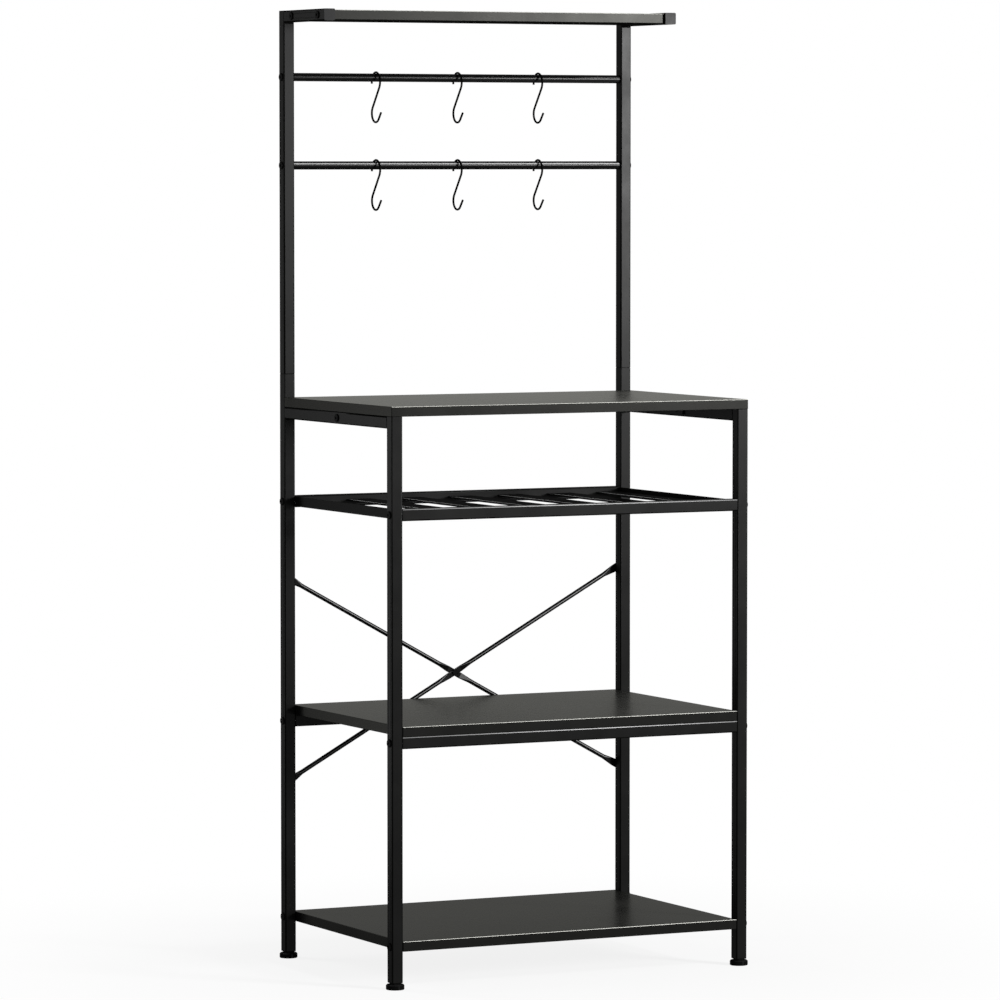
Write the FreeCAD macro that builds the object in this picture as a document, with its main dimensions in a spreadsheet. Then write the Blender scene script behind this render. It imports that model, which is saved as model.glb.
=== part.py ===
import FreeCAD, Part
import math
import os
import Sketcher

# Free-standing kitchen shelf unit of black steel square tube with black boards.
# Millimetres, X to the right, Y to the rear, Z up. The origin is on the floor, under the middle of
# everything: the hooks reach a little further back than the feet reach to the front.

doc = FreeCAD.newDocument("shelf_unit")

# Driving sizes, in millimetres unless the name says angle or count.
DRIVING_SIZES = {
    # the frame, over its tubes
    "unit_width": 600,
    "unit_depth": 400,
    "unit_height": 1456,
    "tube_size": 18,
    "tube_wall": 1.2,
    "tube_corner": 2,
    "bore_corner": 0.8,
    # heights of the upper faces of the worktop and the two lower boards, and how far the rack's
    # bars lie under the worktop's upper face
    "worktop_height": 865.5,
    "rack_drop": 151.5,
    "middle_height": 391,
    "bottom_height": 71.5,
    "board_thickness": 15,
    "board_edge": 0.8,
    # the joint between lower and upper rear posts
    "seam_rise": 35.5,
    "sleeve_length": 120,
    "sleeve_clearance": 0.1,
    # the arms that carry the top board
    "arm_length": 148,
    "top_board_setback": 5,
    "top_board_gap": 3,
    "top_screw_front": 19,
    "top_screw_rear": 26,
    "cap_plate": 1,
    "cap_plug": 12,
    "cap_clearance": 0.1,
    # the rods and the hooks on them
    "upper_rod_drop": 101,
    "lower_rod_drop": 236,
    "rod_size": 12.7,
    "rod_wall": 1.2,
    "hook_wire": 3.2,
    "hook_upper_radius": 14.85,
    "hook_lower_radius": 14,
    "hook_spacing": 48,
    "hook_end_run": 13,
    "hook_pitch": 140,
    "hook_upper_angle": 10,
    "hook_lower_angle": 40,
    "hook_clearance": 0.3,
    # the slatted rack
    "slat_count": 7,
    "slat_width": 40,
    "slat_height": 3.3,
    "slat_sheet": 1.2,
    "slat_rise": 1.4,
    "side_bar_height": 15,
    "side_bar_thickness": 2,
    # the crossed brace behind the rear posts
    "brace_rod": 7,
    "brace_gap": 0.2,
    "brace_tab_width": 12,
    "brace_tab_thickness": 2,
    "brace_tab_reach": 14,
    "brace_flare": 18,
    "brace_middle_width": 9.5,
    "brace_middle_reach": 12,
    "brace_upper_drop": 125,
    "brace_lower_drop": 122,
    "brace_section_flat": 0.2,
    # screws through the posts and what they turn into
    "screw_size": 6,
    "screw_head_size": 12,
    "screw_head_height": 2,
    "screw_head_edge": 0.6,
    "screw_socket_size": 4,
    "screw_socket_depth": 2.4,
    "screw_hole_clearance": 0.2,
    "thread_clearance": 0.05,
    "insert_length": 12,
    "insert_clearance": 0.1,
    "bush_size": 9,
    "bolt_head_height": 2.5,
    "rivet_size": 4,
    "rivet_head_size": 9,
    "rivet_head_height": 1.5,
    "rivet_head_edge": 0.7,
    "rivet_clearance": 0.05,
    "nut_collar_size": 11.5,
    "nut_collar_height": 1.5,
    "nut_length": 10,
    # brackets and small screws that hold the worktop and the middle board
    "bracket_thickness": 3,
    "bracket_leg": 20,
    "bracket_drop": 14.5,
    "bracket_width": 40,
    "bracket_screw_spacing": 24,
    "bracket_screw_inset": 12,
    "small_screw_size": 4,
    "small_head_size": 8,
    "small_head_height": 1.6,
    "small_head_edge": 0.5,
    "small_screw_bite": 10,
    "small_hole_clearance": 0.2,
    "middle_screw_inset": 102,
    "access_clearance": 0.5,
    # levelling feet
    "foot_size": 27.5,
    "foot_height": 8,
    "foot_floor": 3,
    "foot_upper_edge": 1.6,
    "foot_lower_edge": 0.8,
    "stud_size": 8,
    "stud_reach": 20,
    "stud_socket_clearance": 0.02,
    "stud_clearance": 0.05,
    "collar_size": 17,
    "collar_space": 2,
    "collar_gap": 0.3,
    "plug_length": 22,
}

# Sizes and places that follow from the driving sizes.
WORKED_OUT = {
    "frame_shift": "(dims.foot_size / 2 - dims.hook_upper_radius - dims.hook_wire / 2) / 2",
    "post_x": "dims.unit_width / 2 - dims.tube_size / 2",
    "post_y": "dims.unit_depth / 2 - dims.tube_size / 2",
    "inner_x": "dims.unit_width / 2 - dims.tube_size",
    "inner_y": "dims.unit_depth / 2 - dims.tube_size",
    "outer_x": "dims.unit_width / 2",
    "outer_y": "dims.unit_depth / 2",
    "bore_size": "dims.tube_size - 2 * dims.tube_wall",
    "post_bottom": "dims.foot_height + dims.collar_space",
    "worktop_under": "dims.worktop_height - dims.board_thickness",
    "worktop_depth": "dims.unit_depth - dims.tube_size",
    "worktop_y": "-dims.tube_size / 2",
    "worktop_z": "dims.worktop_height - dims.board_thickness / 2",
    "side_rail_z": "worktop_under - dims.tube_size / 2",
    "front_post_z": "(post_bottom + worktop_under) / 2",
    "seam_z": "dims.worktop_height + dims.seam_rise",
    "rear_post_z": "(post_bottom + seam_z) / 2",
    "post_top": "dims.unit_height - dims.cap_plate",
    "upper_post_z": "(seam_z + post_top) / 2",
    "arm_z": "dims.unit_height - dims.tube_size / 2",
    "arm_front": "inner_y - dims.arm_length",
    "arm_y": "(arm_front + dims.cap_plate + inner_y) / 2",
    "top_board_front": "arm_front + dims.top_board_setback",
    "top_board_rear": "inner_y - dims.top_board_gap",
    "top_board_y": "(top_board_front + top_board_rear) / 2",
    "top_screw_front_y": "top_board_front + dims.top_screw_front",
    "top_screw_rear_y": "top_board_rear - dims.top_screw_rear",
    "upper_rod_z": "dims.unit_height - dims.upper_rod_drop",
    "lower_rod_z": "dims.unit_height - dims.lower_rod_drop",
    "rack_top": "dims.worktop_height - dims.rack_drop",
    "rack_z": "rack_top - dims.tube_size / 2",
    "slat_z": "rack_z + dims.slat_rise - dims.slat_height / 2",
    "slat_pitch": "(2 * inner_x - 2 * dims.side_bar_thickness - dims.slat_width) / (dims.slat_count - 1)",
    "middle_rail_z": "dims.middle_height - dims.board_thickness - dims.tube_size / 2",
    "middle_board_z": "dims.middle_height - dims.board_thickness / 2",
    "middle_screw_x": "inner_x - dims.middle_screw_inset",
    "bottom_board_z": "dims.bottom_height - dims.board_thickness / 2",
    "brace_y": "outer_y + dims.brace_gap + dims.brace_rod / 2",
    "tab_offset": "dims.brace_gap + dims.brace_rod / 2 - dims.brace_tab_thickness / 2",
    "brace_upper_z": "rack_top - dims.brace_upper_drop",
    "brace_lower_z": "dims.middle_height - dims.brace_lower_drop",
    "brace_z": "(brace_upper_z + brace_lower_z) / 2",
    "brace_rise": "brace_upper_z - brace_lower_z",
    "brace_length": "sqrt(4 * post_x * post_x + brace_rise * brace_rise)",
    "brace_angle": "atan(brace_rise / (2 * post_x))",
    "insert_x": "inner_x - dims.insert_length / 2",
    "screw_hole": "dims.screw_size / 2 + dims.screw_hole_clearance",
    "thread_hole": "dims.screw_size / 2 + dims.thread_clearance",
    "small_hole": "dims.small_screw_size / 2 + dims.small_hole_clearance",
    "small_pilot": "dims.small_screw_size / 2 + dims.thread_clearance",
    "access_hole": "dims.small_head_size / 2 + dims.access_clearance",
    "bracket_screw_x": "inner_x - dims.bracket_screw_inset",
    "bracket_front_y": "worktop_y - dims.bracket_screw_spacing / 2",
    "bracket_rear_y": "worktop_y + dims.bracket_screw_spacing / 2",
    "hook_inner_radius": "dims.hook_upper_radius - dims.hook_wire / 2",
    "hook_drop": "hook_inner_radius - dims.rod_size / 2 - dims.hook_clearance",
}


def fill_sheet(name, cells, opening):
    """A sheet with one named cell in each row."""
    sheet = doc.addObject("Spreadsheet::Sheet", name)
    for row, (alias, content) in enumerate(cells.items(), start=1):
        sheet.set("A%d" % row, alias)
        sheet.set("B%d" % row, opening + str(content))
        sheet.setAlias("B%d" % row, alias)
    return sheet


dims = fill_sheet("dims", DRIVING_SIZES, "")
doc.recompute()
place = fill_sheet("place", WORKED_OUT, "=")
doc.recompute()

sub_parts = []
cuts = []


def value(formula):
    """The number that a formula in the sheets' names gives."""
    result = place.evalExpression(formula)
    return float(getattr(result, "Value", result))


def negative(formula):
    return "-(%s)" % formula


def put(thing, x, y, z, axis=None, angle=0):
    """Place an object by three formulas, Y from the posts' middle, turned about an axis first."""
    if axis is not None:
        thing.Placement = FreeCAD.Placement(FreeCAD.Vector(), FreeCAD.Rotation(axis, angle))
    for name, formula in zip("xyz", (x, "%s + place.frame_shift" % y, z)):
        thing.setExpression(".Placement.Base." + name, formula)


def new_body(label):
    body = doc.addObject("PartDesign::Body", label)
    body.Label = label
    return body


def new_sketch(body, name, role, lift=None):
    """A sketch on one of the body's own planes, or lifted off it by a formula."""
    sketch = body.newObject("Sketcher::SketchObject", name)
    for feature in body.Origin.OriginFeatures:
        if feature.Role == role:
            sketch.AttachmentSupport = (feature, [""])
    sketch.MapMode = "FlatFace"
    if lift is not None:
        sketch.setExpression(".AttachmentOffset.Base.z", lift)
    return sketch


def measure(sketch, constraint, formula):
    """Add a dimension to a sketch and tie it to a formula."""
    index = sketch.addConstraint(constraint)
    sketch.setExpression("Constraints[%d]" % index, formula)


def hold_point(sketch, shape, end, across, up):
    """Dimension a point of a sketch from the sketch's origin, both ways."""
    for kind, formula in (("DistanceX", across), ("DistanceY", up)):
        measure(sketch, Sketcher.Constraint(kind, -1, 1, shape, end, value(formula)), formula)


def add_outline(sketch, points):
    """A closed outline of straight sides through points given by formulas."""
    first = sketch.GeometryCount
    count = len(points)
    corners = [FreeCAD.Vector(value(across), value(up), 0) for across, up in points]
    for number in range(count):
        sketch.addGeometry(Part.LineSegment(corners[number], corners[(number + 1) % count]), False)
    for number in range(count):
        following = first + (number + 1) % count
        sketch.addConstraint(Sketcher.Constraint("Coincident", first + number, 2, following, 1))
        hold_point(sketch, first + number, 1, *points[number])


def add_rectangle(sketch, width, height):
    half_width = "(%s) / 2" % width
    half_height = "(%s) / 2" % height
    add_outline(sketch, [
        (negative(half_width), negative(half_height)),
        (half_width, negative(half_height)),
        (half_width, half_height),
        (negative(half_width), half_height),
    ])


def add_hexagon(sketch, across_flats):
    """A hexagon with two corners on the sketch's horizontal axis."""
    corner_radius = "%s / sqrt(3)" % across_flats
    angles = range(0, 360, 60)
    add_outline(sketch, [
        ("%s * cos(%d)" % (corner_radius, angle), "%s * sin(%d)" % (corner_radius, angle))
        for angle in angles
    ])


def add_circle(sketch, radius, across="0", up="0"):
    centre = FreeCAD.Vector(value(across), value(up), 0)
    circle = sketch.addGeometry(Part.Circle(centre, FreeCAD.Vector(0, 0, 1), value(radius)), False)
    hold_point(sketch, circle, 3, across, up)
    measure(sketch, Sketcher.Constraint("Radius", circle, value(radius)), radius)


def add_round_rectangle(sketch, width, height, radius, shift="0"):
    """Four straight sides joined by quarter rounds, moved sideways by a shift."""
    right = "(%s) + (%s) / 2" % (shift, width)
    left = "(%s) - (%s) / 2" % (shift, width)
    top = "(%s) / 2" % height
    bottom = negative(top)
    inner_right = "%s - (%s)" % (right, radius)
    inner_left = "%s + (%s)" % (left, radius)
    inner_top = "%s - (%s)" % (top, radius)
    inner_bottom = "%s + (%s)" % (bottom, radius)
    first = sketch.GeometryCount
    sides = [
        ((inner_left, bottom), (inner_right, bottom)),
        ((right, inner_bottom), (right, inner_top)),
        ((inner_right, top), (inner_left, top)),
        ((left, inner_top), (left, inner_bottom)),
    ]
    for side in sides:
        ends = [FreeCAD.Vector(value(across), value(up), 0) for across, up in side]
        sketch.addGeometry(Part.LineSegment(*ends), False)
    centres = [
        (inner_right, inner_bottom),
        (inner_right, inner_top),
        (inner_left, inner_top),
        (inner_left, inner_bottom),
    ]
    for number, (across, up) in enumerate(centres):
        centre = FreeCAD.Vector(value(across), value(up), 0)
        round_shape = Part.Circle(centre, FreeCAD.Vector(0, 0, 1), value(radius))
        start = (number - 1) * math.pi / 2
        sketch.addGeometry(Part.ArcOfCircle(round_shape, start, start + math.pi / 2), False)
    for number in range(4):
        line = first + number
        arc = first + 4 + number
        next_line = first + (number + 1) % 4
        hold_point(sketch, line, 1, *sides[number][0])
        hold_point(sketch, line, 2, *sides[number][1])
        sketch.addConstraint(Sketcher.Constraint("Coincident", line, 2, arc, 1))
        sketch.addConstraint(Sketcher.Constraint("Coincident", arc, 2, next_line, 1))
        measure(sketch, Sketcher.Constraint("Radius", arc, value(radius)), radius)


def pad_both_ways(body, sketch, length):
    pad = body.newObject("PartDesign::Pad", sketch.Name + "_pad")
    pad.Profile = sketch
    pad.SideType = "Symmetric"
    pad.setExpression("Length", length)
    return pad


def pad_one_way(body, sketch, length, backwards=False):
    pad = body.newObject("PartDesign::Pad", sketch.Name + "_pad")
    pad.Profile = sketch
    pad.Reversed = backwards
    pad.setExpression("Length", length)
    return pad


def cut_through(body, sketch):
    pocket = body.newObject("PartDesign::Pocket", sketch.Name + "_cut")
    pocket.Profile = sketch
    pocket.SideType = "Symmetric"
    pocket.Type = "ThroughAll"
    cuts.append(pocket)


def cut_to_depth(body, sketch, depth, backwards=False):
    """Cut against the sketch's normal, or along it when backwards."""
    pocket = body.newObject("PartDesign::Pocket", sketch.Name + "_cut")
    pocket.Profile = sketch
    pocket.Reversed = backwards
    pocket.setExpression("Length", depth)
    cuts.append(pocket)


def revolve_about_z(body, sketch):
    revolution = body.newObject("PartDesign::Revolution", sketch.Name + "_turned")
    revolution.Profile = sketch
    revolution.ReferenceAxis = (sketch, ["V_Axis"])
    revolution.Angle = 360


def drill_through(body, name, role, radius, holes):
    """Round holes right through a body, square to one of its planes."""
    sketch = new_sketch(body, body.Name + name, role)
    for across, up in holes:
        add_circle(sketch, radius, across, up)
    cut_through(body, sketch)


# Square tube, roll-formed from strip and cut square at both ends.

ALONG_X = "YZ_Plane"
ALONG_Y = "XZ_Plane"
ALONG_Z = "XY_Plane"


def square_tube(label, direction, length, x, y, z):
    body = new_body(label)
    section = new_sketch(body, label + "_section", direction)
    add_round_rectangle(section, "dims.tube_size", "dims.tube_size", "dims.tube_corner")
    add_round_rectangle(section, "place.bore_size", "place.bore_size", "dims.bore_corner")
    pad_both_ways(body, section, length)
    put(body, x, y, z)
    sub_parts.append(body)
    return body


def sides(formula):
    """The left and the right place of a mirrored pair of pieces."""
    return (("left", negative(formula)), ("right", formula))


# The lower posts stand on the feet. Each screw passes through both walls of its post.

LOWER_SCREW_HEIGHTS = ("place.rack_z", "place.middle_rail_z", "place.bottom_board_z")

for side, x in sides("place.post_x"):
    post = square_tube(
        "front_post_" + side, ALONG_Z, "place.worktop_under - place.post_bottom",
        x, "-place.post_y", "place.front_post_z",
    )
    drill_through(post, "_screw_holes", ALONG_X, "place.screw_hole", [
        ("0", "%s - place.front_post_z" % height) for height in LOWER_SCREW_HEIGHTS
    ])

for side, x in sides("place.post_x"):
    post = square_tube(
        "rear_post_" + side, ALONG_Z, "place.seam_z - place.post_bottom",
        x, "place.post_y", "place.rear_post_z",
    )
    drill_through(post, "_screw_holes", ALONG_X, "place.screw_hole", [
        ("0", "%s - place.rear_post_z" % height) for height in LOWER_SCREW_HEIGHTS
    ])
    nut_holes = new_sketch(post, post.Name + "_nut_holes", ALONG_Y)
    for height in ("place.brace_upper_z", "place.brace_lower_z"):
        add_circle(nut_holes, "dims.bush_size / 2", "0", "%s - place.rear_post_z" % height)
    cut_to_depth(post, nut_holes, "dims.tube_size")

# The upper posts stand on the rear posts, over a sleeve, and carry the rods and the arms.

for side, x in sides("place.post_x"):
    post = square_tube(
        "upper_post_" + side, ALONG_Z, "place.post_top - place.seam_z",
        x, "place.post_y", "place.upper_post_z",
    )
    drill_through(post, "_screw_holes", ALONG_X, "place.screw_hole", [
        ("0", "place.upper_rod_z - place.upper_post_z"),
        ("0", "place.lower_rod_z - place.upper_post_z"),
    ])

# The side rails join front and rear post right under the worktop's ends.

for side, x in sides("place.post_x"):
    rail = square_tube(
        "side_rail_" + side, ALONG_Y, "2 * place.inner_y",
        x, "0", "place.side_rail_z",
    )
    drill_through(rail, "_screw_hole", ALONG_X, "place.screw_hole", [("place.worktop_y", "0")])

# The arms are welded to the upper posts' front faces and hold the top board between them.

for side, x in sides("place.post_x"):
    arm = square_tube(
        "top_arm_" + side, ALONG_Y, "dims.arm_length - dims.cap_plate",
        x, "place.arm_y", "place.arm_z",
    )
    drill_through(arm, "_screw_holes", ALONG_X, "place.screw_hole", [
        ("place.top_screw_front_y - place.arm_y", "0"),
        ("place.top_screw_rear_y - place.arm_y", "0"),
    ])

# The middle board lies on two rails. The rack hangs on two bars of the same tube. A wider hole in
# the underside of a rail lets a small screw's head through, to sit inside against the upper wall.

for name, y in (("front", "-place.post_y"), ("rear", "place.post_y")):
    rail = square_tube(
        "middle_rail_" + name, ALONG_X, "2 * place.inner_x",
        "0", y, "place.middle_rail_z",
    )
    drill_through(rail, "_board_screw_holes", ALONG_Z, "place.small_hole", [
        ("-place.middle_screw_x", "0"),
        ("place.middle_screw_x", "0"),
    ])
    access_holes = new_sketch(rail, rail.Name + "_access_holes", ALONG_Z, "-dims.tube_size / 2")
    add_circle(access_holes, "place.access_hole", "-place.middle_screw_x")
    add_circle(access_holes, "place.access_hole", "place.middle_screw_x")
    cut_to_depth(rail, access_holes, "dims.tube_size / 2", True)
    square_tube(
        "rack_bar_" + name, ALONG_X, "2 * place.inner_x",
        "0", y, "place.rack_z",
    )


# Boards: black-faced wood panels with slightly rounded edges.

def board(label, width, depth, x, y, z):
    body = new_body(label)
    outline = new_sketch(body, label + "_outline", ALONG_Z)
    add_rectangle(outline, width, depth)
    pad = pad_both_ways(body, outline, "dims.board_thickness")
    edges = body.newObject("PartDesign::Fillet", label + "_edges")
    edges.Base = (pad, [""])
    edges.UseAllEdges = True
    edges.setExpression("Radius", "dims.board_edge")
    put(body, x, y, z)
    sub_parts.append(body)
    return body


def bore_ends(body, half_width, holes):
    """Blind holes for threaded bushes, from both ends of a board."""
    for name, lift, backwards in (("_left", negative(half_width), True), ("_right", half_width, False)):
        sketch = new_sketch(body, body.Name + name + "_bush_holes", ALONG_X, lift)
        for across in holes:
            add_circle(sketch, "dims.bush_size / 2", across)
        cut_to_depth(body, sketch, "dims.insert_length", backwards)


def bore_underside(body, holes):
    """Pilot holes for the small screws, from below."""
    sketch = new_sketch(body, body.Name + "_pilot_holes", ALONG_Z, "-dims.board_thickness / 2")
    for across, up in holes:
        add_circle(sketch, "place.small_pilot", across, up)
    cut_to_depth(body, sketch, "dims.small_screw_bite", True)


worktop = board(
    "worktop_board", "dims.unit_width", "place.worktop_depth",
    "0", "place.worktop_y", "place.worktop_z",
)
bore_underside(worktop, [
    (across, "%sdims.bracket_screw_spacing / 2" % sign)
    for across in ("-place.bracket_screw_x", "place.bracket_screw_x")
    for sign in ("-", "")
])

top_board = board(
    "top_board", "2 * place.inner_x", "place.top_board_rear - place.top_board_front",
    "0", "place.top_board_y", "place.arm_z",
)
bore_ends(top_board, "place.inner_x", (
    "place.top_screw_front_y - place.top_board_y",
    "place.top_screw_rear_y - place.top_board_y",
))

middle_board = board(
    "middle_board", "2 * place.inner_x", "dims.unit_depth",
    "0", "0", "place.middle_board_z",
)
bore_underside(middle_board, [
    (across, up)
    for across in ("-place.middle_screw_x", "place.middle_screw_x")
    for up in ("-place.post_y", "place.post_y")
])

bottom_board = board(
    "bottom_board", "2 * place.inner_x", "dims.unit_depth",
    "0", "0", "place.bottom_board_z",
)
bore_ends(bottom_board, "place.inner_x", ("-place.post_y", "place.post_y"))

# The rack between its bars: thin bars on edge at the sides, and pressed slats from front to rear.

for side, x in sides("place.inner_x - dims.side_bar_thickness / 2"):
    bar = new_body("rack_side_bar_" + side)
    section = new_sketch(bar, bar.Name + "_section", ALONG_Y)
    add_rectangle(section, "dims.side_bar_thickness", "dims.side_bar_height")
    pad_both_ways(bar, section, "2 * place.inner_y")
    put(bar, x, "0", "place.rack_z")
    sub_parts.append(bar)


def slat(label, x):
    """A strip pressed into a shallow channel, its two long edges turned down."""
    body = new_body(label)
    section = new_sketch(body, label + "_section", ALONG_Y)
    half_width = "dims.slat_width / 2"
    half_inside = "dims.slat_width / 2 - dims.slat_sheet"
    top = "dims.slat_height / 2"
    ceiling = "dims.slat_height / 2 - dims.slat_sheet"
    add_outline(section, [
        (negative(half_width), negative(top)),
        (negative(half_inside), negative(top)),
        (negative(half_inside), ceiling),
        (half_inside, ceiling),
        (half_inside, negative(top)),
        (half_width, negative(top)),
        (half_width, top),
        (negative(half_width), top),
    ])
    pad_both_ways(body, section, "2 * place.inner_y")
    put(body, x, "0", "place.slat_z")
    sub_parts.append(body)


slat_count = round(value("dims.slat_count"))
for number in range(slat_count):
    steps_from_middle = number - (slat_count - 1) / 2
    slat("rack_slat_%d" % (number + 1), "%g * place.slat_pitch" % steps_from_middle)


# Round rods between the upper posts.

ROD_HEIGHTS = (("upper", "place.upper_rod_z"), ("lower", "place.lower_rod_z"))

for name, height in ROD_HEIGHTS:
    rod = new_body("hook_rod_" + name)
    section = new_sketch(rod, rod.Name + "_section", ALONG_X)
    add_circle(section, "dims.rod_size / 2")
    add_circle(section, "dims.rod_size / 2 - dims.rod_wall")
    pad_both_ways(rod, section, "2 * place.inner_x")
    put(rod, "0", "place.post_y", height)
    sub_parts.append(rod)

# S-hooks of bent wire. The upper bend goes over the rod. A straight run crosses from its front to
# the rear of the lower bend, and a short straight end leaves the lower bend at the front. In the
# hook's own frame the upper bend is centred on the origin and the wire starts on the Y axis.

upper_radius = value("dims.hook_upper_radius")
lower_radius = value("dims.hook_lower_radius")
bend_spacing = value("dims.hook_spacing")
end_length = value("dims.hook_end_run")
upper_angle = math.radians(value("dims.hook_upper_angle"))
lower_angle = math.radians(value("dims.hook_lower_angle"))
crossing_angle = math.asin((upper_radius + lower_radius) / bend_spacing)
upper_end = math.pi + crossing_angle + upper_angle
lower_start = lower_angle + upper_angle - math.pi
lower_end = crossing_angle + upper_angle
upper_centre = FreeCAD.Vector()
lower_centre = FreeCAD.Vector(
    bend_spacing * math.sin(upper_angle),
    -bend_spacing * math.cos(upper_angle),
    0,
)


def on_circle(centre, radius, angle):
    return centre + FreeCAD.Vector(radius * math.cos(angle), radius * math.sin(angle), 0)


def arc_moment(centre, radius, start, end):
    """Length of an arc of wire, and its length times the place of its centre of mass."""
    length = radius * (end - start)
    lean = FreeCAD.Vector(math.sin(end) - math.sin(start), math.cos(start) - math.cos(end), 0)
    return length, centre * length + lean * radius * radius


def line_moment(start, end):
    """The same for a straight run of wire."""
    length = (end - start).Length
    return length, (start + end) * (length / 2)


run_start = on_circle(upper_centre, upper_radius, upper_end)
run_end = on_circle(lower_centre, lower_radius, lower_end)
end_start = on_circle(lower_centre, lower_radius, lower_start)
wire_tip = end_start + FreeCAD.Vector(math.sin(lower_start), -math.cos(lower_start), 0) * end_length
wire_runs = [
    arc_moment(upper_centre, upper_radius, 0, upper_end),
    line_moment(run_start, run_end),
    arc_moment(lower_centre, lower_radius, lower_start, lower_end),
    line_moment(end_start, wire_tip),
]
wire_centre = FreeCAD.Vector()
for run_length, run_moment in wire_runs:
    wire_centre += run_moment
wire_centre = wire_centre / sum(run_length for run_length, run_moment in wire_runs)

# A hook hangs with its centre of mass right below the rod's axis.
hanging_angle = -90 - math.degrees(math.atan2(wire_centre.y, wire_centre.x))


def s_hook(label, x, rod_height):
    body = new_body(label)
    path = new_sketch(body, label + "_path", ALONG_X)
    upper_circle = Part.Circle(upper_centre, FreeCAD.Vector(0, 0, 1), upper_radius)
    lower_circle = Part.Circle(lower_centre, FreeCAD.Vector(0, 0, 1), lower_radius)
    upper_bend = path.addGeometry(Part.ArcOfCircle(upper_circle, 0, upper_end), False)
    run = path.addGeometry(Part.LineSegment(run_start, run_end), False)
    lower_bend = path.addGeometry(Part.ArcOfCircle(lower_circle, lower_start, lower_end), False)
    end_run = path.addGeometry(Part.LineSegment(end_start, wire_tip), False)
    path.addConstraint(Sketcher.Constraint("Coincident", upper_bend, 3, -1, 1))
    path.addConstraint(Sketcher.Constraint("PointOnObject", upper_bend, 1, -1))
    path.addConstraint(Sketcher.Constraint("Tangent", upper_bend, 2, run, 1))
    path.addConstraint(Sketcher.Constraint("Tangent", run, 2, lower_bend, 2))
    path.addConstraint(Sketcher.Constraint("Tangent", lower_bend, 1, end_run, 1))
    centre_across = "dims.hook_spacing * sin(dims.hook_upper_angle)"
    centre_up = "-dims.hook_spacing * cos(dims.hook_upper_angle)"
    end_angle = "dims.hook_upper_angle + dims.hook_lower_angle"
    end_up = "%s - dims.hook_lower_radius * sin(%s)" % (centre_up, end_angle)
    hold_point(path, lower_bend, 3, centre_across, centre_up)
    measure(path, Sketcher.Constraint("DistanceY", -1, 1, lower_bend, 1, value(end_up)), end_up)
    measure(path, Sketcher.Constraint("Radius", upper_bend, upper_radius), "dims.hook_upper_radius")
    measure(path, Sketcher.Constraint("Radius", lower_bend, lower_radius), "dims.hook_lower_radius")
    measure(path, Sketcher.Constraint("Distance", end_run, end_length), "dims.hook_end_run")
    wire = new_sketch(body, label + "_wire", ALONG_Z)
    add_circle(wire, "dims.hook_wire / 2", "0", "dims.hook_upper_radius")
    pipe = body.newObject("PartDesign::AdditivePipe", label + "_pipe")
    pipe.Profile = wire
    pipe.Spine = (path, [])
    put(
        body, x, "place.post_y", "%s - place.hook_drop" % rod_height,
        FreeCAD.Vector(1, 0, 0), hanging_angle,
    )
    sub_parts.append(body)


for name, height in ROD_HEIGHTS:
    s_hook("s_hook_%s_left" % name, "-dims.hook_pitch", height)
    s_hook("s_hook_%s_middle" % name, "0", height)
    s_hook("s_hook_%s_right" % name, "dims.hook_pitch", height)


# The crossed brace: two round rods with both ends and the middle pressed flat. The end tabs are
# pressed to the front, against the posts, and the rods run clear of the middle board behind it.
# The flats at the middle are pressed to opposite sides, so that the two rods cross in one plane.

def brace(label, middle_shift, turn_axis):
    body = new_body(label)
    end = "place.brace_length / 2"
    round_section = ("dims.brace_rod", "dims.brace_rod", "0")
    tab_section = ("dims.brace_tab_thickness", "dims.brace_tab_width", "-place.tab_offset")
    middle_section = ("dims.brace_tab_thickness", "dims.brace_middle_width", middle_shift)
    half = [
        (end, tab_section),
        ("%s - dims.brace_tab_reach" % end, tab_section),
        ("%s - dims.brace_tab_reach - dims.brace_flare" % end, round_section),
        ("dims.brace_middle_reach + dims.brace_flare", round_section),
        ("dims.brace_middle_reach", middle_section),
    ]
    stations = [(negative(lift), section) for lift, section in half]
    stations += list(reversed(half))
    sections = []
    for number, (lift, (thickness, width, shift)) in enumerate(stations):
        sketch = new_sketch(body, "%s_section_%d" % (label, number), ALONG_X, lift)
        corner = "(%s - dims.brace_section_flat) / 2" % thickness
        add_round_rectangle(sketch, thickness, width, corner, shift)
        sections.append(sketch)
    loft = body.newObject("PartDesign::AdditiveLoft", label + "_rod")
    loft.Profile = sections[0]
    loft.Sections = [(sketch, [""]) for sketch in sections[1:]]
    loft.Ruled = True
    ends = new_sketch(body, label + "_round_ends", ALONG_Y, "place.tab_offset")
    add_circle(ends, "dims.brace_tab_width / 2", negative(end))
    add_circle(ends, "dims.brace_tab_width / 2", end)
    pad_both_ways(body, ends, "dims.brace_tab_thickness")
    holes = new_sketch(body, label + "_holes", ALONG_Y)
    add_circle(holes, "place.screw_hole", negative(end))
    add_circle(holes, "dims.rivet_size / 2 + dims.rivet_clearance")
    add_circle(holes, "place.screw_hole", end)
    cut_through(body, holes)
    put(body, "0", "place.brace_y", "place.brace_z", turn_axis, value("place.brace_angle"))
    body.setExpression(".Placement.Rotation.Angle", "place.brace_angle")
    sub_parts.append(body)


brace("brace_rod_rising", "-dims.brace_tab_thickness / 2", FreeCAD.Vector(0, -1, 0))
brace("brace_rod_falling", "dims.brace_tab_thickness / 2", FreeCAD.Vector(0, 1, 0))


# Fasteners: one of each kind is drawn on the Z axis, its seat at the origin and its shank
# downwards, and stands in every place that needs it.

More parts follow.
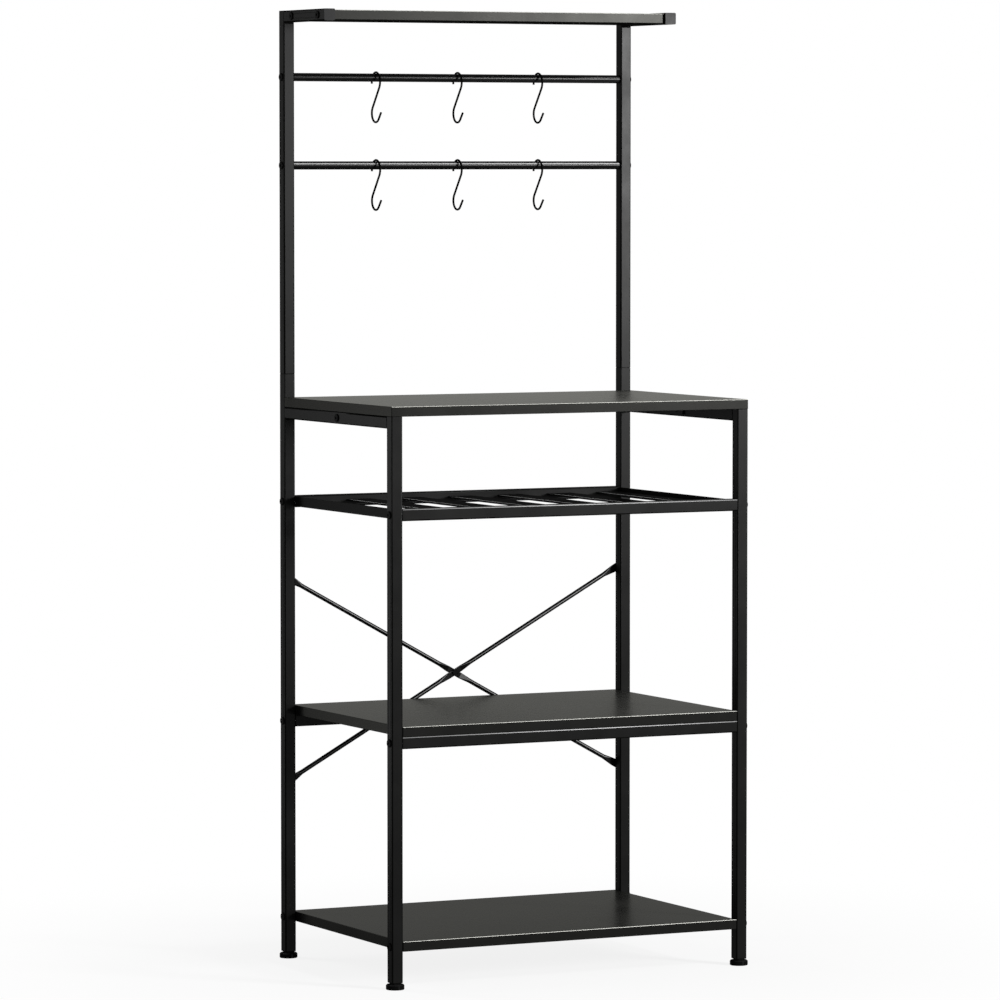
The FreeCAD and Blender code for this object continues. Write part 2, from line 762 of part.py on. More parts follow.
def turned_screw(label, shank_radius, shank_length, head_radius, head_height, head_edge):
    body = new_body(label)
    profile = new_sketch(body, label + "_profile", ALONG_Y)
    add_outline(profile, [
        ("0", negative(shank_length)),
        (shank_radius, negative(shank_length)),
        (shank_radius, "0"),
        (head_radius, "0"),
        (head_radius, "%s - %s" % (head_height, head_edge)),
        ("%s - %s" % (head_radius, head_edge), head_height),
        ("0", head_height),
    ])
    revolve_about_z(body, profile)
    return body


def hex_socket(body, head_height):
    socket = new_sketch(body, body.Name + "_socket", ALONG_Z, head_height)
    add_hexagon(socket, "dims.screw_socket_size")
    cut_to_depth(body, socket, "dims.screw_socket_depth")


def sleeve_piece(label, direction, outside, radius, length, square):
    """A short piece with a round hole along it, square or round outside."""
    body = new_body(label)
    section = new_sketch(body, label + "_section", direction)
    if square:
        add_round_rectangle(section, outside, outside, "dims.bore_corner")
    else:
        add_circle(section, "(%s) / 2" % outside)
    add_circle(section, radius)
    pad_both_ways(body, section, length)
    return body


def group(label, pattern, places):
    """One sub-part of like solids, each at three formulas and turned about an axis."""
    links = []
    for number, (x, y, z, axis, angle) in enumerate(places):
        link = doc.addObject("App::Link", "%s_%d" % (label, number))
        link.LinkedObject = pattern
        put(link, x, y, z, axis, angle)
        links.append(link)
    compound = doc.addObject("Part::Compound", label)
    compound.Label = label
    compound.Links = links
    sub_parts.append(compound)


UPRIGHT = (FreeCAD.Vector(0, 0, 1), 0)
TURNED_ABOUT_Z = (FreeCAD.Vector(0, 0, 1), 180)
HEAD_LEFT = (FreeCAD.Vector(0, 1, 0), -90)
HEAD_RIGHT = (FreeCAD.Vector(0, 1, 0), 90)
HEAD_DOWN = (FreeCAD.Vector(1, 0, 0), 180)
HEAD_REAR = (FreeCAD.Vector(1, 0, 0), -90)
LYING_FORWARDS = (FreeCAD.Vector(1, 0, 0), 90)
LEFT_AND_RIGHT = (("-", HEAD_LEFT), ("", HEAD_RIGHT))

FRAME_JOINTS = [
    (y, z)
    for z in ("place.rack_z", "place.middle_rail_z", "place.bottom_board_z")
    for y in ("-place.post_y", "place.post_y")
]
ROD_JOINTS = [("place.post_y", height) for name, height in ROD_HEIGHTS]
TOP_JOINTS = [
    ("place.top_screw_front_y", "place.arm_z"),
    ("place.top_screw_rear_y", "place.arm_z"),
]

frame_screw = turned_screw(
    "frame_screw", "dims.screw_size / 2", "dims.tube_size + dims.insert_length",
    "dims.screw_head_size / 2", "dims.screw_head_height", "dims.screw_head_edge",
)
hex_socket(frame_screw, "dims.screw_head_height")
group("frame_screws", frame_screw, [
    (sign + "place.outer_x", y, z, *turn)
    for y, z in FRAME_JOINTS + ROD_JOINTS + TOP_JOINTS
    for sign, turn in LEFT_AND_RIGHT
])

worktop_screw = turned_screw(
    "worktop_screw", "dims.screw_size / 2", "dims.tube_size + dims.bracket_thickness",
    "dims.screw_head_size / 2", "dims.screw_head_height", "dims.screw_head_edge",
)
hex_socket(worktop_screw, "dims.screw_head_height")
group("worktop_screws", worktop_screw, [
    (sign + "place.outer_x", "place.worktop_y", "place.side_rail_z", *turn)
    for sign, turn in LEFT_AND_RIGHT
])

# Threaded plugs in the ends of the rack's bars and the middle rails, then those in the rods.

tube_insert = sleeve_piece(
    "tube_insert", ALONG_X, "place.bore_size - 2 * dims.insert_clearance",
    "place.thread_hole", "dims.insert_length", True,
)
group("tube_end_inserts", tube_insert, [
    (sign + "place.insert_x", y, z, *UPRIGHT)
    for y, z in FRAME_JOINTS if z != "place.bottom_board_z"
    for sign in ("-", "")
])

rod_insert = sleeve_piece(
    "rod_insert", ALONG_X, "dims.rod_size - 2 * dims.rod_wall - 2 * dims.insert_clearance",
    "place.thread_hole", "dims.insert_length", False,
)
group("rod_end_inserts", rod_insert, [
    (sign + "place.insert_x", y, z, *UPRIGHT)
    for y, z in ROD_JOINTS
    for sign in ("-", "")
])

# Threaded bushes in the ends of the bottom board and the top board.

board_bush = sleeve_piece(
    "board_bush", ALONG_X, "dims.bush_size - 2 * dims.thread_clearance",
    "place.thread_hole", "dims.insert_length", False,
)
group("board_bushes", board_bush, [
    (sign + "place.insert_x", y, z, *UPRIGHT)
    for y, z in FRAME_JOINTS + TOP_JOINTS
    if z in ("place.bottom_board_z", "place.arm_z")
    for sign in ("-", "")
])

# Angle brackets under the worktop, each with one frame screw's thread and two small screws.

bracket = new_body("bracket")
bracket_side = new_sketch(bracket, "bracket_side", ALONG_Y)
add_outline(bracket_side, [
    ("0", "0"),
    ("-dims.bracket_leg", "0"),
    ("-dims.bracket_leg", "-dims.bracket_thickness"),
    ("-dims.bracket_thickness", "-dims.bracket_thickness"),
    ("-dims.bracket_thickness", "-dims.bracket_drop"),
    ("0", "-dims.bracket_drop"),
])
pad_both_ways(bracket, bracket_side, "dims.bracket_width")
drill_through(bracket, "_thread", ALONG_X, "place.thread_hole", [("0", "-dims.tube_size / 2")])
drill_through(bracket, "_board_holes", ALONG_Z, "place.small_hole", [
    ("-dims.bracket_screw_inset", "-dims.bracket_screw_spacing / 2"),
    ("-dims.bracket_screw_inset", "dims.bracket_screw_spacing / 2"),
])
group("worktop_brackets", bracket, [
    ("-place.inner_x", "place.worktop_y", "place.worktop_under", *TURNED_ABOUT_Z),
    ("place.inner_x", "place.worktop_y", "place.worktop_under", *UPRIGHT),
])

bracket_screw = turned_screw(
    "bracket_screw", "dims.small_screw_size / 2", "dims.bracket_thickness + dims.small_screw_bite",
    "dims.small_head_size / 2", "dims.small_head_height", "dims.small_head_edge",
)
group("bracket_screws", bracket_screw, [
    (sign + "place.bracket_screw_x", y, "place.worktop_under - dims.bracket_thickness", *HEAD_DOWN)
    for sign in ("-", "")
    for y in ("place.bracket_front_y", "place.bracket_rear_y")
])

middle_board_screw = turned_screw(
    "middle_board_screw", "dims.small_screw_size / 2", "dims.tube_wall + dims.small_screw_bite",
    "dims.small_head_size / 2", "dims.small_head_height", "dims.small_head_edge",
)
group("middle_board_screws", middle_board_screw, [
    (sign + "place.middle_screw_x", y, "place.middle_rail_z + place.bore_size / 2", *HEAD_DOWN)
    for sign in ("-", "")
    for y in ("-place.post_y", "place.post_y")
])

# Brace bolts turn into rivet nuts set in the rear posts. One rivet joins the two rods.

BRACE_JOINTS = [
    (sign + "place.post_x", height)
    for sign in ("-", "")
    for height in ("place.brace_upper_z", "place.brace_lower_z")
]

brace_bolt = turned_screw(
    "brace_bolt", "dims.screw_size / 2", "dims.brace_tab_thickness + dims.nut_length",
    "dims.screw_head_size / 2", "dims.bolt_head_height", "dims.screw_head_edge",
)
hex_socket(brace_bolt, "dims.bolt_head_height")
group("brace_bolts", brace_bolt, [
    (x, "place.outer_y + dims.brace_tab_thickness", z, *HEAD_REAR) for x, z in BRACE_JOINTS
])

rivet_nut = new_body("rivet_nut")
rivet_nut_profile = new_sketch(rivet_nut, "rivet_nut_profile", ALONG_Y)
add_outline(rivet_nut_profile, [
    ("place.thread_hole", "-dims.nut_length"),
    ("dims.bush_size / 2 - dims.thread_clearance", "-dims.nut_length"),
    ("dims.bush_size / 2 - dims.thread_clearance", "-dims.tube_wall - dims.nut_collar_height"),
    ("dims.nut_collar_size / 2", "-dims.tube_wall - dims.nut_collar_height"),
    ("dims.nut_collar_size / 2", "-dims.tube_wall"),
    ("dims.bush_size / 2 - dims.thread_clearance", "-dims.tube_wall"),
    ("dims.bush_size / 2 - dims.thread_clearance", "0"),
    ("place.thread_hole", "0"),
])
revolve_about_z(rivet_nut, rivet_nut_profile)
group("brace_rivet_nuts", rivet_nut, [
    (x, "place.outer_y", z, *HEAD_REAR) for x, z in BRACE_JOINTS
])

rivet = new_body("brace_rivet")
rivet_profile = new_sketch(rivet, "brace_rivet_profile", ALONG_Y)
rivet_seat = "dims.brace_tab_thickness"
rivet_top = "dims.brace_tab_thickness + dims.rivet_head_height"
rivet_shoulder = "%s - dims.rivet_head_edge" % rivet_top
rivet_crown = "dims.rivet_head_size / 2 - dims.rivet_head_edge"
add_outline(rivet_profile, [
    ("0", negative(rivet_top)),
    (rivet_crown, negative(rivet_top)),
    ("dims.rivet_head_size / 2", negative(rivet_shoulder)),
    ("dims.rivet_head_size / 2", negative(rivet_seat)),
    ("dims.rivet_size / 2", negative(rivet_seat)),
    ("dims.rivet_size / 2", rivet_seat),
    ("dims.rivet_head_size / 2", rivet_seat),
    ("dims.rivet_head_size / 2", rivet_shoulder),
    (rivet_crown, rivet_top),
    ("0", rivet_top),
])
revolve_about_z(rivet, rivet_profile)
put(rivet, "0", "place.brace_y", "place.brace_z", *HEAD_REAR)
sub_parts.append(rivet)

# Sleeves inside the joint between the rear posts and the upper posts.

post_sleeve = new_body("post_sleeve")
sleeve_section = new_sketch(post_sleeve, "post_sleeve_section", ALONG_Z)
sleeve_outside = "place.bore_size - 2 * dims.sleeve_clearance"
sleeve_inside = "%s - 2 * dims.tube_wall" % sleeve_outside
add_round_rectangle(sleeve_section, sleeve_outside, sleeve_outside, "dims.bore_corner")
add_round_rectangle(sleeve_section, sleeve_inside, sleeve_inside, "dims.bore_corner")
pad_both_ways(post_sleeve, sleeve_section, "dims.sleeve_length")
group("post_sleeves", post_sleeve, [
    (x, "place.post_y", "place.seam_z", *UPRIGHT) for x in ("-place.post_x", "place.post_x")
])

# Caps: a face plate on the tube's end and a plug in its bore.

end_cap = new_body("end_cap")
cap_face = new_sketch(end_cap, "end_cap_face", ALONG_Z)
add_round_rectangle(cap_face, "dims.tube_size", "dims.tube_size", "dims.tube_corner")
pad_one_way(end_cap, cap_face, "dims.cap_plate")
cap_stem = new_sketch(end_cap, "end_cap_stem", ALONG_Z)
cap_stem_size = "place.bore_size - 2 * dims.cap_clearance"
add_round_rectangle(cap_stem, cap_stem_size, cap_stem_size, "dims.bore_corner")
pad_one_way(end_cap, cap_stem, "dims.cap_plug", True)
group("tube_end_caps", end_cap, [
    (x, y, z, *turn)
    for x in ("-place.post_x", "place.post_x")
    for y, z, turn in (
        ("place.post_y", "place.post_top", UPRIGHT),
        ("place.arm_front + dims.cap_plate", "place.arm_z", LYING_FORWARDS),
    )
])

# Levelling feet. A plug with a thread sits in the bottom of each post, and the stud turns in it.

LEGS = [
    ("front_left", "-place.post_x", "-place.post_y"),
    ("front_right", "place.post_x", "-place.post_y"),
    ("rear_left", "-place.post_x", "place.post_y"),
    ("rear_right", "place.post_x", "place.post_y"),
]

post_plug = sleeve_piece(
    "post_plug", ALONG_Z, "place.bore_size - 2 * dims.insert_clearance",
    "dims.stud_size / 2 + dims.stud_clearance", "dims.plug_length", True,
)
group("post_plugs", post_plug, [
    (x, y, "place.post_bottom + dims.plug_length / 2", *UPRIGHT) for leg, x, y in LEGS
])


def foot_pad(label, x, y):
    body = new_body(label)
    profile = new_sketch(body, label + "_profile", ALONG_Y)
    radius = "dims.foot_size / 2"
    socket = "dims.stud_size / 2 + dims.stud_socket_clearance"
    add_outline(profile, [
        ("0", "0"),
        ("%s - dims.foot_lower_edge" % radius, "0"),
        (radius, "dims.foot_lower_edge"),
        (radius, "dims.foot_height - dims.foot_upper_edge"),
        ("%s - dims.foot_upper_edge" % radius, "dims.foot_height"),
        (socket, "dims.foot_height"),
        (socket, "dims.foot_floor"),
        ("0", "dims.foot_floor"),
    ])
    revolve_about_z(body, profile)
    put(body, x, y, "0")
    sub_parts.append(body)


def foot_stud(label, x, y):
    """A threaded stud with a hexagonal collar that stops against the post."""
    body = new_body(label)
    shaft = new_sketch(body, label + "_shaft", ALONG_Z, "dims.foot_floor")
    add_circle(shaft, "dims.stud_size / 2")
    pad_one_way(body, shaft, "place.post_bottom + dims.stud_reach - dims.foot_floor")
    collar = new_sketch(body, label + "_collar", ALONG_Z, "dims.foot_height")
    add_hexagon(collar, "dims.collar_size")
    pad_one_way(body, collar, "dims.collar_space - dims.collar_gap")
    put(body, x, y, "0")
    sub_parts.append(body)


for leg, x, y in LEGS:
    foot_pad("foot_pad_" + leg, x, y)
    foot_stud("foot_stud_" + leg, x, y)

# Build everything, test it and write one file for each sub-part.

doc.recompute()

for thing in doc.Objects:
    if "Invalid" in thing.State or "Error" in thing.State:
        raise RuntimeError("failed to build: %s %s" % (thing.Name, thing.State))
for cut in cuts:
    if cut.Shape.Volume >= cut.BaseFeature.Shape.Volume:
        raise RuntimeError("cuts nothing: " + cut.Name)
for thing in sub_parts:
    if thing.Shape.isNull() or not thing.Shape.isValid() or not thing.Shape.Solids:
        raise RuntimeError("has no sound shape: " + thing.Label)

os.makedirs("parts", exist_ok=True)
for thing in sub_parts:
    thing.Shape.exportStep("parts/%s.step" % thing.Label)
print("sub-parts:", len(sub_parts))
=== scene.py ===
import bmesh
import bpy
import math
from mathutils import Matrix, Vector


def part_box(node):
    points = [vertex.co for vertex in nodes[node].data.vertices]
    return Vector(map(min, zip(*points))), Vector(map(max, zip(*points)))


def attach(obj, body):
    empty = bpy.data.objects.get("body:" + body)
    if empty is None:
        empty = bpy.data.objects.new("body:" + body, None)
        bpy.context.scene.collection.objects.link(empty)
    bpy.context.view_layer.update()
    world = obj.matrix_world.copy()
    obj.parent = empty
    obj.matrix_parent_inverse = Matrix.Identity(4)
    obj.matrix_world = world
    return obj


# A free-standing kitchen shelf unit of black steel square tube with black boards.
# Metres, X to the right, Y to the rear, Z up, with the origin on the floor under the middle.

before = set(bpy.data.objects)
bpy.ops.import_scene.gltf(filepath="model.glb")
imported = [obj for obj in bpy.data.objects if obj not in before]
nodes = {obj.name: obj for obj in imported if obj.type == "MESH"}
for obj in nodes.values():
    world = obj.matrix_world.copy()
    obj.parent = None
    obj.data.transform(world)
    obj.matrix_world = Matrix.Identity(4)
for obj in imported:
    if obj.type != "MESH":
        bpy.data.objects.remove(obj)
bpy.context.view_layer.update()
MM = 0.001

# The welded frame: square steel tube, cut, welded at the rails and the arms, then powder-coated
# black. The coat is satin, with the fine ripple that the powder keeps after baking.

POSTS = [
    "front_post_left", "front_post_right", "rear_post_left", "rear_post_right",
    "upper_post_left", "upper_post_right",
]
RAILS_AND_ARMS = ["side_rail_left", "side_rail_right", "top_arm_left", "top_arm_right"]


def srgb(code):
    """A linear colour from an sRGB hex code."""
    shares = [int(code[i:i + 2], 16) / 255 for i in (1, 3, 5)]
    return [c / 12.92 if c <= 0.04045 else ((c + 0.055) / 1.055) ** 2.4 for c in shares] + [1]


def new_material(name):
    """An empty node tree, and its output node."""
    material = bpy.data.materials.new(name)
    material.use_nodes = True
    material.node_tree.nodes.clear()
    return material, add_node(material, "ShaderNodeOutputMaterial")


def add_node(material, kind, settings=None, inputs=None, to=None):
    """A node with its settings and inputs (values or other nodes' outputs), linked to a socket."""
    tree = material.node_tree
    node = tree.nodes.new(kind)
    for name, setting in (settings or {}).items():
        setattr(node, name, setting)
    for name, given in (inputs or {}).items():
        if isinstance(given, bpy.types.NodeSocket):
            tree.links.new(given, node.inputs[name])
        else:
            node.inputs[name].default_value = given
    if to is not None:
        tree.links.new(node.outputs[0], to)
    return node


def finish(node_names, material):
    """Give CAD nodes a material in every slot."""
    for name in node_names:
        for slot in nodes[name].material_slots:
            slot.material = material


# Every black finish here is a thin dark layer that stays black when it is seen square on and turns
# pale only at a glancing view, as rough lacquer and foil do. GLANCE is how late that sets in.
GLANCE = 11.5
# The two tones and the roughness follow a noise, whose values lie mostly between these two.
NOISE_SPAN = (0.3, 0.7)
# A normal tells where on a piece the light and shade are painted. On an upright corner, painted
# dark as shade, the product of its X and Y is beyond CORNER_LEAN either way, and on an underside,
# also painted dark, its Z is below UNDERSIDE_LEAN.
CORNER_LEAN = 0.08
UNDERSIDE_LEAN = -0.15
# A front upper corner, where a highlight line is painted, as the middle and half width of its
# normal's Z, and the normal's highest Y.
FRONT_ARRIS = (0.55, 0.4, -0.3)
ARRIS_ROUGHNESS = 0.5


def black_finish(name, colours, patch, roughness, sheen, painted_edge_light_and_shade=None, tint="#ffffff", grain=None,
                 highlight_normals=FRONT_ARRIS):
    """A black coat.

    colours: the two tones that it has in soft patches, whose size is patch.
    roughness: its least and greatest value.
    sheen: the shares of light mirrored square on and at a glancing view.
    painted_edge_light_and_shade: the same shares on front upper corners, where a thin highlight
    line is painted, and on upright corners and undersides, which are painted dark as shade.
    tint: the colour of the mirrored light.
    grain: the size, height and strength of the ripple in the surface; it goes with
    painted_edge_light_and_shade, and fades over the painted highlight line.
    highlight_normals: which normals count as a front upper corner, where the highlight line is
    painted.
    """
    material, output = new_material(name)
    place = add_node(material, "ShaderNodeTexCoord")
    cloud = add_node(material, "ShaderNodeTexNoise", inputs={
        "Vector": place.outputs["Object"], "Scale": 1 / patch, "Detail": 3, "Roughness": 0.6,
    })
    tone = add_node(material, "ShaderNodeMix", {"data_type": "RGBA"}, {
        "Factor": cloud.outputs["Fac"], "A": srgb(colours[0]), "B": srgb(colours[1]),
    })
    gloss = add_node(material, "ShaderNodeMapRange", inputs={
        "Value": cloud.outputs["Fac"], "From Min": NOISE_SPAN[0], "From Max": NOISE_SPAN[1],
        "To Min": roughness[0], "To Max": roughness[1],
    })
    body = add_node(material, "ShaderNodeBsdfPrincipled", inputs={
        "Base Color": tone.outputs["Result"], "Roughness": 0.6, "Specular IOR Level": 0,
    })
    skin = add_node(material, "ShaderNodeBsdfGlossy", inputs={
        "Color": srgb(tint), "Roughness": gloss.outputs["Result"],
    })
    view = add_node(material, "ShaderNodeLayerWeight", inputs={"Blend": 0.5})
    glance = add_node(material, "ShaderNodeMath", {"operation": "POWER"}, {
        0: view.outputs["Facing"], 1: GLANCE,
    })
    mirrored = add_node(material, "ShaderNodeMapRange", inputs={
        "Value": glance.outputs["Value"], "To Min": sheen[0], "To Max": sheen[1],
    })
    if painted_edge_light_and_shade:
        # Painted shade: upright corners and undersides mirror only the second share, so they stay
        # dark.
        lean = add_node(material, "ShaderNodeSeparateXYZ", inputs={0: place.outputs["Normal"]})
        sideways = add_node(material, "ShaderNodeMath", {"operation": "MULTIPLY"}, {
            0: lean.outputs["X"], 1: lean.outputs["Y"],
        })
        level = add_node(material, "ShaderNodeMath", {"operation": "COMPARE"}, {
            0: sideways.outputs["Value"], 1: 0, 2: CORNER_LEAN,
        })
        above = add_node(material, "ShaderNodeMath", {"operation": "GREATER_THAN"}, {
            0: lean.outputs["Z"], 1: UNDERSIDE_LEAN,
        })
        outside_painted_shade = add_node(material, "ShaderNodeMath", {"operation": "MULTIPLY"}, {
            0: level.outputs["Value"], 1: above.outputs["Value"],
        })
        mirrored = add_node(material, "ShaderNodeMapRange", inputs={
            "Value": outside_painted_shade.outputs["Value"], "To Min": painted_edge_light_and_shade[1],
            "To Max": mirrored.outputs["Result"],
        })
        # Painted highlight: front upper corners mirror the first share, with ARRIS_ROUGHNESS, as a
        # thin bright line.
        upward = add_node(material, "ShaderNodeMath", {"operation": "COMPARE"}, {
            0: lean.outputs["Z"], 1: highlight_normals[0], 2: highlight_normals[1],
        })
        forward = add_node(material, "ShaderNodeMath", {"operation": "LESS_THAN"}, {
            0: lean.outputs["Y"], 1: highlight_normals[2],
        })
        corner = add_node(material, "ShaderNodeMath", {"operation": "MULTIPLY"}, {
            0: upward.outputs["Value"], 1: forward.outputs["Value"],
        })
        mirrored = add_node(material, "ShaderNodeMapRange", inputs={
            "Value": corner.outputs["Value"], "To Min": mirrored.outputs["Result"],
            "To Max": painted_edge_light_and_shade[0],
        })
        gloss = add_node(material, "ShaderNodeMapRange", inputs={
            "Value": corner.outputs["Value"], "To Min": gloss.outputs["Result"],
            "To Max": ARRIS_ROUGHNESS,
        })
        material.node_tree.links.new(gloss.outputs["Result"], skin.inputs["Roughness"])
    add_node(material, "ShaderNodeMixShader", inputs={
        "Fac": mirrored.outputs["Result"], 1: body.outputs["BSDF"], 2: skin.outputs["BSDF"],
    }, to=output.inputs["Surface"])
    if grain:
        size, height, strength = grain
        dots = add_node(material, "ShaderNodeTexNoise", inputs={
            "Vector": place.outputs["Object"], "Scale": 1 / size, "Detail": 1.5, "Roughness": 0.5,
        })
        depth = add_node(material, "ShaderNodeMapRange", inputs={
            "Value": corner.outputs["Value"], "To Min": strength, "To Max": 0,
        })
        bump = add_node(material, "ShaderNodeBump", inputs={
            "Height": dots.outputs["Fac"], "Strength": depth.outputs["Result"], "Distance": height,
        })
        for shader in (body, skin):
            material.node_tree.links.new(bump.outputs["Normal"], shader.inputs["Normal"])
    return material


# Powder coat: cured resin over the steel, with a ripple about 1.5 mm from crest to crest.
COAT_RIPPLE = (1.5 * MM, 0.05 * MM, 0.15)
# Upright corners and undersides of this coat are painted dark as shade; its front upper corners
# keep the plain share.
powder_coat = black_finish(
    "satin_black_powder_coat", colours=("#080808", "#0e0e0d"), patch=60 * MM,
    roughness=(0.26, 0.33), sheen=(0.0058, 0.05), painted_edge_light_and_shade=(0.0058, 0.0003), grain=COAT_RIPPLE,
)
finish(POSTS + RAILS_AND_ARMS + ["post_sleeves"], powder_coat)

# The tubes are deburred after cutting and drilling. An edge sharper than SHARP_ANGLE, in degrees,
# is broken by the width of a hole's rim or of a cut end.
SHARP_ANGLE = 50
RIM_WIDTH = 0.4 * MM
CUT_END_WIDTH = 0.8 * MM
SAME_POINT = 0.01 * MM


def deburr(name, width):
    """Break a piece's sharp edges by a width, after joining the points that its faces share."""
    weld = nodes[name].modifiers.new("joined_corners", "WELD")
    weld.merge_threshold = SAME_POINT
    bevel = nodes[name].modifiers.new("deburred_edge", "BEVEL")
    bevel.width = width
    bevel.segments = 2
    bevel.limit_method = "ANGLE"
    bevel.angle_limit = math.radians(SHARP_ANGLE)
    bevel.harden_normals = True


# The cut ends show as a fine dark line where one tube stands on another.
for name in POSTS:
    deburr(name, CUT_END_WIDTH)
for name in RAILS_AND_ARMS + ["post_sleeves"]:
    deburr(name, RIM_WIDTH)

# The weld beads: each rail and arm ends against a post with one bead of rippled weld metal across
# its underside, coated with the frame. The flush sides were ground flat before coating.

WELD_LEG = 2.2 * MM
WELD_ENDS_IN = 1.5 * MM
RING_STEP = 0.25 * MM
RIPPLE_PITCH = 1.4 * MM
BEAD_POINTS = 6
# Shares of a bead's leg: how far its root lies within the corner, how thick it starts, how far its
# middle bulges and how deep its ripples are. The ripples' middle lags by a share of their pitch.
ROOT_SHARE = 0.1
START_SHARE = 0.2
CROWN_SHARE = 0.84
RIPPLE_SHARE = 0.12
LAG_SHARE = 0.3


def weld_bead(beads, start, end, along_one, along_other, leg):
    """Lay a bead from start to end in a corner, whose faces run off along the two directions."""
    start, end = Vector(start), Vector(end)
    legs = Vector(along_one), Vector(along_other)
    length = (end - start).length
    rings = []
    count = round(length / RING_STEP)
    for step in range(count + 1):
        run = length * step / count
        nearest_end = min(run, length - run, leg) / leg
        swell = leg * max(math.sqrt(1 - (1 - nearest_end) ** 2), START_SHARE)
        root = start.lerp(end, step / count)
        ring = [beads.verts.new(root - ROOT_SHARE * swell * (legs[0] + legs[1]))]
        for point in range(BEAD_POINTS + 1):
            turn = math.pi / 2 * point / BEAD_POINTS
            middle = math.sin(2 * turn)
            wave = math.cos(2 * math.pi * (run / RIPPLE_PITCH - LAG_SHARE * middle))
            ripple = 1 - RIPPLE_SHARE * middle * (1 + wave) / 2
            reach = swell * (1 - (1 - CROWN_SHARE) * middle) * ripple
            ring.append(beads.verts.new(
                root + reach * (math.cos(turn) * legs[0] + math.sin(turn) * legs[1])
            ))
        rings.append(ring)
    for ring, following in zip(rings, rings[1:]):
        for point in range(len(ring)):
            after = (point + 1) % len(ring)
            beads.faces.new([ring[point], ring[after], following[after], following[point]])
    beads.faces.new(rings[0])
    beads.faces.new(rings[-1])


def finished_beads(name, beads):
    """Turn the beads into a piece that rides on the frame and has its coat."""
    bmesh.ops.recalc_face_normals(beads, faces=beads.faces)
    for face in beads.faces:
        face.smooth = len(face.verts) == 4
    mesh = bpy.data.meshes.new(name)
    beads.to_mesh(mesh)
    beads.free()
    mesh.materials.append(powder_coat)
    piece = bpy.data.objects.new(name, mesh)
    bpy.context.scene.collection.objects.link(piece)
    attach(piece, "frame")


beads = bmesh.new()
for rail in RAILS_AND_ARMS:
    (left, front, bottom), (right, rear, _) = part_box(rail)
    seams = [(rear, -1)]
    if rail.startswith("side_rail"):
        seams.append((front, 1))
    for seam, forward in seams:
        weld_bead(
            beads, (left + WELD_ENDS_IN, seam, bottom), (right - WELD_ENDS_IN, seam, bottom),
            (0, 0, -1), (0, forward, 0), WELD_LEG,
        )
finished_beads("frame_welds", beads)

# The slatted rack and the rails under the middle board: tube, flat bar and folded slats with the
# same coat. On the two front bars a bright highlight line is painted over the upper corners, and
# their upright corners and undersides are painted dark as shade.

bar_coat = black_finish(
    "satin_black_powder_coat_painted_edge_highlight", colours=("#080808", "#0e0e0d"), patch=60 * MM,
    roughness=(0.26, 0.33), sheen=(0.0058, 0.05), painted_edge_light_and_shade=(0.17, 0.0003), grain=COAT_RIPPLE,
)
BARS = ["rack_bar_front", "rack_bar_rear", "middle_rail_front", "middle_rail_rear"]
SLATS = ["rack_slat_%d" % n for n in range(1, 8)]
finish(["rack_bar_front", "middle_rail_front"], bar_coat)
finish(["rack_bar_rear", "middle_rail_rear"], powder_coat)
for name in BARS:
    deburr(name, RIM_WIDTH)

# The slats and side bars get a duller coat, painted shade for where they lie deep between the bars
# under the worktop. A bright highlight line is painted along all their upper edges, whichever way
# they face.
ANY_UPPER_ARRIS = (0.55, 0.4, 1.1)
slat_coat = black_finish(
    "black_powder_coat_painted_shade_and_highlight", colours=("#080808", "#0c0c0b"), patch=60 * MM,
    roughness=(0.3, 0.36), sheen=(0.003, 0.012), painted_edge_light_and_shade=(0.3, 0.0003), grain=COAT_RIPPLE,
    highlight_normals=ANY_UPPER_ARRIS,
)
finish(SLATS + ["rack_side_bar_left", "rack_side_bar_right"], slat_coat)
SLAT_BEND = 0.6 * MM
for name in SLATS:
    deburr(name, SLAT_BEND)

# Each slat is held by a short tack in the corners beside its ends, and each side bar by a bead
# below the first slat.
TACK_LEG = 1.6 * MM
TACK_INSET = 0.5 * MM
beads = bmesh.new()
(_, front_seam, side_bottom), (side_inner, rear_seam, _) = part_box("rack_side_bar_left")
for seam, forward in ((front_seam, 1), (rear_seam, -1)):
    for slat in SLATS:
        (left, _, bottom), (right, _, top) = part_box(slat)
        for edge, outward in ((left, -1), (right, 1)):
            if abs(edge) < abs(side_inner) - TACK_LEG:
                weld_bead(
                    beads, (edge, seam, bottom), (edge, seam, top),
                    (outward, 0, 0), (0, forward, 0), TACK_LEG,
                )
    for side in (-1, 1):
        weld_bead(
            beads, (side * abs(side_inner), seam, side_bottom + TACK_INSET),
            (side * abs(side_inner), seam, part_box(SLATS[0])[0][2] - TACK_INSET),
            (-side, 0, 0), (0, forward, 0), TACK_LEG,
        )
finished_beads("rack_welds", beads)

# The boards: particle board wrapped in black melamine foil with a fine pearl grain, which keeps a
# soft, slightly warm sheen at a low angle. A thin highlight line is painted along the front upper
# corner, and the upright corners and undersides are painted dark as shade.
PEARL_GRAIN = (0.5 * MM, 0.03 * MM, 0.3)
board_foil = black_finish(
    "black_melamine_foil", colours=("#0a0a0a", "#111110"), patch=60 * MM, roughness=(0.25, 0.3),
    sheen=(0.0062, 0.26), painted_edge_light_and_shade=(0.32, 0.0003), tint="#fffff8", grain=PEARL_GRAIN,
)
finish(["worktop_board", "top_board", "middle_board", "bottom_board"], board_foil)

